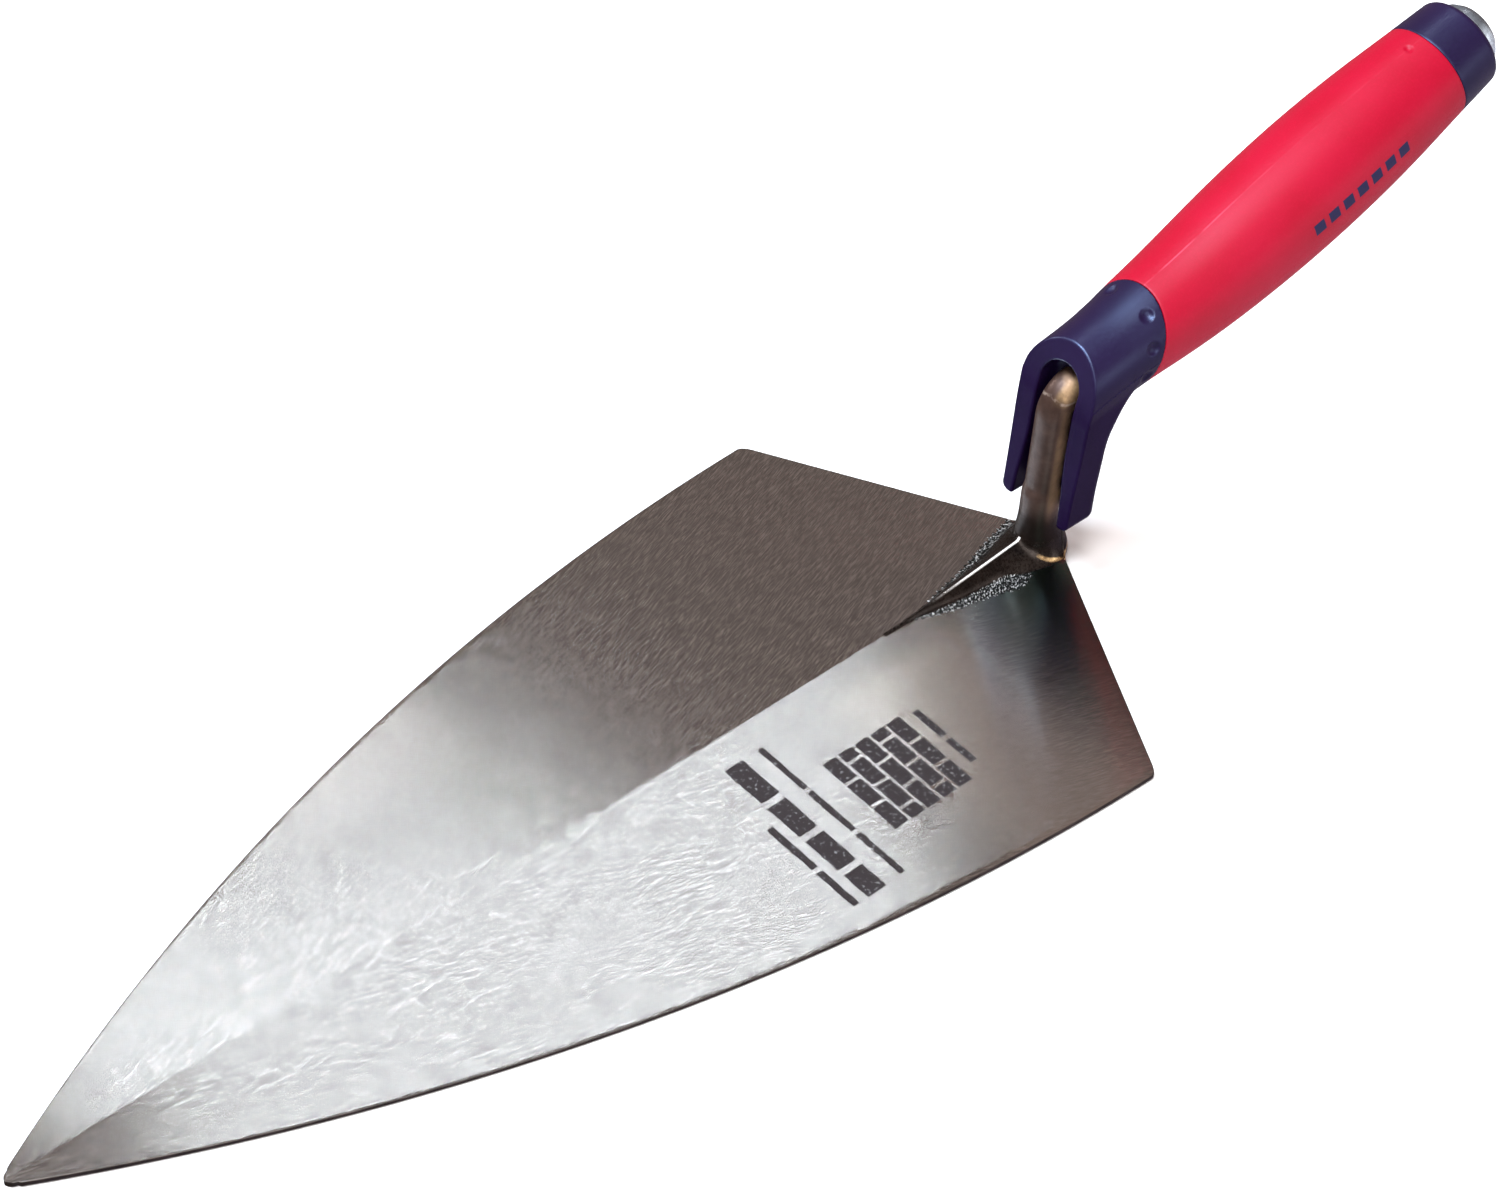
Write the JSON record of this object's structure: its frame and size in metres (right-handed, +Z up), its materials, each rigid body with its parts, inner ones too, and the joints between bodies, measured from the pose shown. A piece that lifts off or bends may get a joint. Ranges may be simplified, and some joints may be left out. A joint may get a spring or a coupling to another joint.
{
  "type": "brick trowel",
  "caption": "Philadelphia pattern brick trowel with a forged steel blade and shank, a raised two-colour moulded handle, a finger guard and a steel striking cap.",
  "frame": {"origin": "centre of the overall box, on the plane that the blade's flat underside rests on", "axes": "+X along the blade from its tip towards the handle's end, +Z up from the blade, Y across it"},
  "size_m": [0.4714, 0.1518, 0.1107],
  "materials": {
    "blade_steel": "ground and brushed, clear coated",
    "core_plastic": "moulded",
    "grip_red": "satin moulded",
    "guard_navy": "satin moulded",
    "collar_navy": "satin moulded",
    "cap_steel": "turned and polished"
  },
  "bodies": {
    "root": {"blade_forging": "blade_steel", "handle_core": "core_plastic", "grip_sleeve": "grip_red", "finger_guard": "guard_navy", "rear_collar": "collar_navy", "striking_cap": "cap_steel"}
  },
  "joints": []
}
